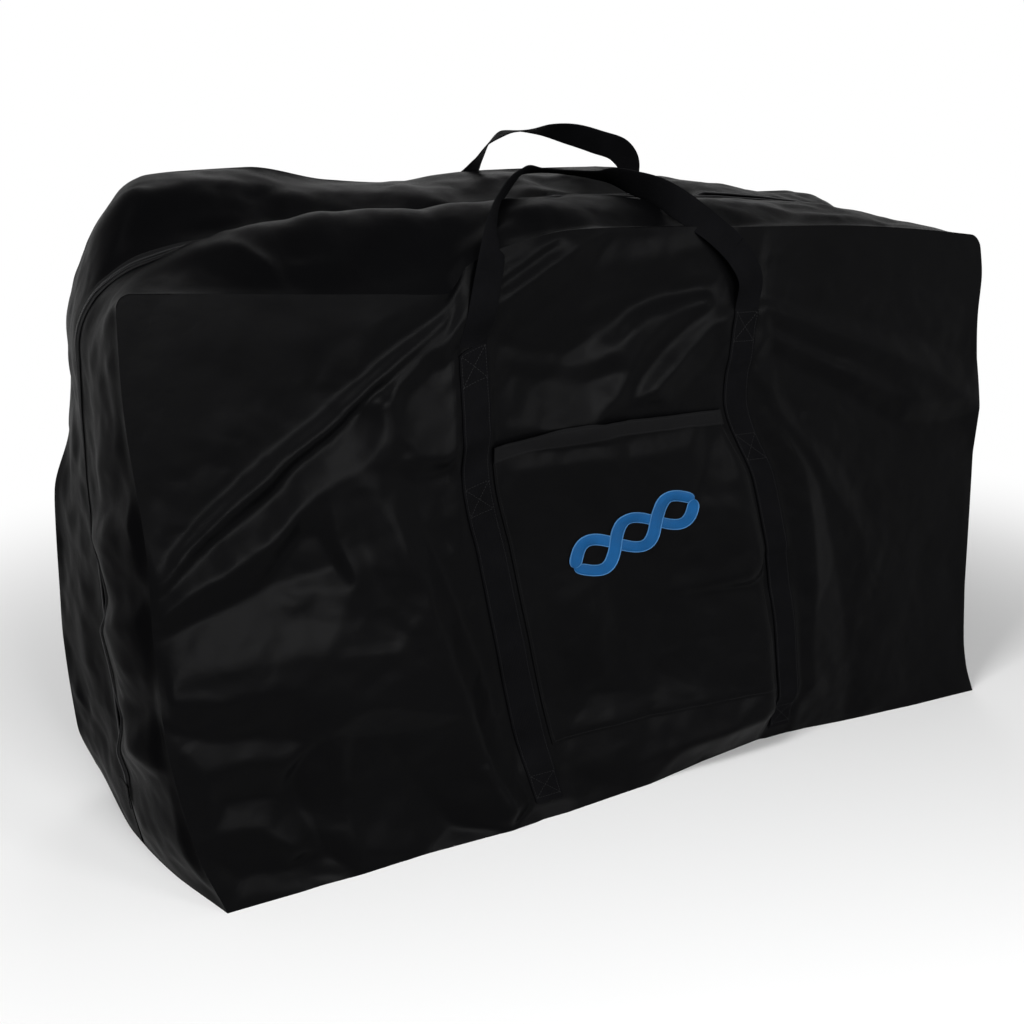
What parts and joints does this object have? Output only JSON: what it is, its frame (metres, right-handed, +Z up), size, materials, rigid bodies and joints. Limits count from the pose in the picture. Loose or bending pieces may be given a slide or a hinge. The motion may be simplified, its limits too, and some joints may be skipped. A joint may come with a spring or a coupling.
{
  "type": "soft bike travel bag",
  "caption": "Tall rectangular soft case for carrying a bicycle, opening like a clamshell along a zip, with webbing carry handles, a patch pocket and an embroidered motif.",
  "frame": {"origin": "on the floor under the middle of the base panel", "axes": "+X along the bag's length, to the right as seen from the front panel; +Y from the front panel to the rear panel; +Z up"},
  "size_m": [1.385, 0.4196, 0.9446],
  "materials": {
    "black_nylon": "thin coated nylon, slight sheen, creased",
    "black_binding_tape": "matte woven tape",
    "black_webbing": "flat woven webbing, matte",
    "zip_tape": "matte woven tape",
    "zip_coil_nylon": "semi-matte nylon coil",
    "slider_black_metal": "black lacquered zinc",
    "blue_thread": "satin stitched embroidery thread with a pale edge"
  },
  "bodies": {
    "rear_shell": {"base_panel": "black_nylon", "rear_panel": "black_nylon", "top_gusset_rear": "black_nylon", "left_gusset_rear": "black_nylon", "right_gusset_rear": "black_nylon", "left_gusset_foot": "black_nylon", "right_gusset_foot": "black_nylon", "zip_tape_rear": "zip_tape", "zip_coil_rear": "zip_coil_nylon", "zip_end_tab_left": "black_nylon", "zip_end_tab_right": "black_nylon", "seam_binding_rear": "black_binding_tape", "rear_strap_left": "black_webbing", "rear_strap_right": "black_webbing"},
    "front_shell": {"front_panel": "black_nylon", "top_gusset_front": "black_nylon", "left_gusset_front": "black_nylon", "right_gusset_front": "black_nylon", "zip_tape_front": "zip_tape", "zip_coil_front": "zip_coil_nylon", "seam_binding_front": "black_binding_tape", "front_strap_left": "black_webbing", "front_strap_right": "black_webbing", "pocket_gusset": "black_nylon", "pocket_panel": "black_nylon", "pocket_hem": "black_binding_tape", "embroidered_motif": "blue_thread"},
    "front_handle_legs": {"front_handle_leg_left": "black_webbing", "front_handle_leg_right": "black_webbing"},
    "front_handle": {"front_handle_loop": "black_webbing"},
    "rear_handle_legs": {"rear_handle_leg_left": "black_webbing", "rear_handle_leg_right": "black_webbing"},
    "rear_handle": {"rear_handle_loop": "black_webbing"},
    "slider": {"zip_slider": "slider_black_metal"},
    "pull": {"zip_pull": "slider_black_metal"}
  },
  "joints": [
    {"name": "shell_fold", "type": "hinge", "parent": "rear_shell", "child": "front_shell", "pos_m": [0, -0.19, 0.0033], "axis": [1, 0, 0], "range_deg": [0, 80]},
    {"name": "front_leg_swing", "type": "hinge", "parent": "front_shell", "child": "front_handle_legs", "pos_m": [0, -0.1924, 0.7], "axis": [1, 0, 0], "range_deg": [0, 150]},
    {"name": "front_loop_swing", "type": "hinge", "parent": "front_handle_legs", "child": "front_handle", "pos_m": [0, -0.1924, 0.80015], "axis": [1, 0, 0], "range_deg": [0, 75]},
    {"name": "rear_leg_swing", "type": "hinge", "parent": "rear_shell", "child": "rear_handle_legs", "pos_m": [0, 0.1924, 0.72], "axis": [1, 0, 0], "range_deg": [-155, 0]},
    {"name": "rear_loop_swing", "type": "hinge", "parent": "rear_handle_legs", "child": "rear_handle", "pos_m": [0, 0.1924, 0.86015], "axis": [1, 0, 0], "range_deg": [-60, 0]},
    {"name": "zip_slide", "type": "slide", "parent": "rear_shell", "child": "slider", "axis": [0, 0, 1], "range_m": [0, 0.6]},
    {"name": "pull_swing", "type": "hinge", "parent": "slider", "child": "pull", "pos_m": [0.6934, 0, 0.115], "axis": [0, -1, 0], "range_deg": [0, 165]}
  ]
}
